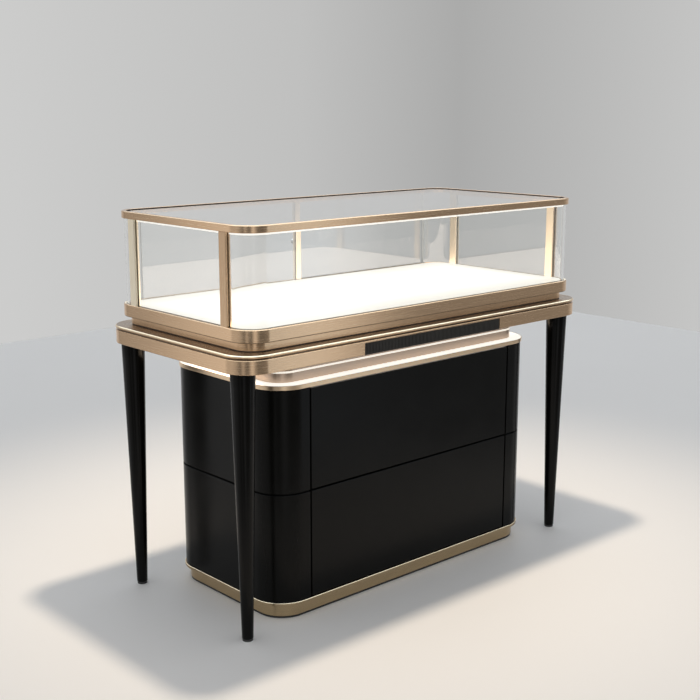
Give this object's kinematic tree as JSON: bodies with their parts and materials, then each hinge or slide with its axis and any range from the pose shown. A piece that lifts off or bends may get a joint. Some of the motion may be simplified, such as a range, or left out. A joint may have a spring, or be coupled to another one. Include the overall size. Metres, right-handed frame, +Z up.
{
  "type": "jewellery showcase",
  "caption": "Lit glass jewellery showcase with bent corner glass and sliding rear doors, on a legged metal table over a black drawer cabinet.",
  "frame": {"origin": "centre of the footprint on the floor", "axes": "+Z up; +X along the length, to the customer's right; -Y towards the customer; the case opens at +Y"},
  "size_m": [1.244, 0.59, 1],
  "materials": {
    "champagne_metal": "brushed and anodised champagne colour, satin",
    "dark_bronze": "dark bronze anodised, satin",
    "clear_glass": "clear, polished edges",
    "opal": "opal, lit from inside",
    "black_lacquer": "satin black lacquer on board",
    "black_legs": "satin black lacquer on turned wood",
    "carcass_board": "dark grey melamine on board",
    "plain_steel": "zinc plated",
    "gasket": "pale grey silicone",
    "clear_plastic": "clear",
    "light_board": "white, lit",
    "ribbed_strip": "satin black, fine ribs",
    "underside": "satin black",
    "nylon": "black nylon",
    "driver_case": "white enamel",
    "lead": "white sheath",
    "switch_black": "fine texture",
    "rocker": "red, glossy",
    "chrome": "polished"
  },
  "bodies": {
    "showcase": {"top_frame": "champagne_metal", "top_glass": "clear_glass", "glazing_gaskets": "gasket", "front_glass": "clear_glass", "side_glasses": "clear_glass", "rear_corner_glasses": "clear_glass", "front_posts": "champagne_metal", "rear_posts": "champagne_metal", "door_jambs": "clear_plastic", "door_tracks": "champagne_metal", "led_channels": "champagne_metal", "led_bars": "opal", "display_deck": "opal", "light_board": "light_board", "case_floor": "carcass_board", "base_frame": "champagne_metal", "case_riser": "champagne_metal", "table_plate": "champagne_metal", "table_spacer": "dark_bronze", "table_apron": "champagne_metal", "apron_strip": "ribbed_strip", "subframe_rails": "plain_steel", "leg_blocks": "plain_steel", "underside_panel": "underside", "front_legs": "black_legs", "rear_legs": "black_legs", "leg_studs": "plain_steel", "leg_glides": "nylon", "neck": "champagne_metal", "cabinet_light_strips": "opal", "cap_band": "champagne_metal", "cap_diffuser": "opal", "carcass_sides": "carcass_board", "carcass_shelves": "carcass_board", "shell_left": "black_lacquer", "shell_right": "black_lacquer", "back_panel": "black_lacquer", "back_panel_screws": "plain_steel", "ledge_plate": "champagne_metal", "plinth": "champagne_metal", "runner_cabinet_members": "plain_steel", "led_driver": "driver_case", "cable_gland": "nylon", "inner_leads": "lead", "switch_housing": "switch_black"},
    "upper_drawer": {"upper_drawer_front": "black_lacquer", "upper_drawer_box": "carcass_board", "upper_drawer_members": "plain_steel"},
    "upper_runner": {"upper_runner_mids": "plain_steel"},
    "lower_drawer": {"lower_drawer_front": "black_lacquer", "lower_drawer_box": "carcass_board", "lower_drawer_members": "plain_steel"},
    "lower_runner": {"lower_runner_mids": "plain_steel"},
    "door_left": {"door_left_glass": "clear_glass", "door_left_frame": "champagne_metal"},
    "door_right": {"door_right_glass": "clear_glass", "door_right_frame": "champagne_metal", "lock_body": "chrome"},
    "door_lock": {"lock_plug": "chrome"},
    "light_switch": {"switch_rocker": "rocker"}
  },
  "joints": [
    {"name": "upper_drawer_slide", "type": "slide", "parent": "showcase", "child": "upper_drawer", "axis": [0, -1, 0], "range_m": [-0.0025, 0.38]},
    {"name": "upper_runner_slide", "type": "slide", "parent": "showcase", "child": "upper_runner", "axis": [0, -1, 0], "range_m": [-0.00125, 0.19]},
    {"name": "lower_drawer_slide", "type": "slide", "parent": "showcase", "child": "lower_drawer", "axis": [0, -1, 0], "range_m": [-0.0025, 0.38]},
    {"name": "lower_runner_slide", "type": "slide", "parent": "showcase", "child": "lower_runner", "axis": [0, -1, 0], "range_m": [-0.00125, 0.19]},
    {"name": "door_left_slide", "type": "slide", "parent": "showcase", "child": "door_left", "axis": [1, 0, 0], "range_m": [0, 0.5]},
    {"name": "door_right_slide", "type": "slide", "parent": "showcase", "child": "door_right", "axis": [-1, 0, 0], "range_m": [0, 0.5]},
    {"name": "lock_turn", "type": "hinge", "parent": "door_right", "child": "door_lock", "pos_m": [0, 0.28, 0.873], "axis": [0, 1, 0], "range_deg": [0, 90]},
    {"name": "switch_rock", "type": "hinge", "parent": "showcase", "child": "light_switch", "pos_m": [-0.42, 0.288, 0.6805], "axis": [-1, 0, 0], "range_deg": [0, 16]}
  ],
  "couplings": [
    {"joint": "upper_runner_slide", "follows": "upper_drawer_slide", "ratio": 0.5},
    {"joint": "lower_runner_slide", "follows": "lower_drawer_slide", "ratio": 0.5}
  ]
}
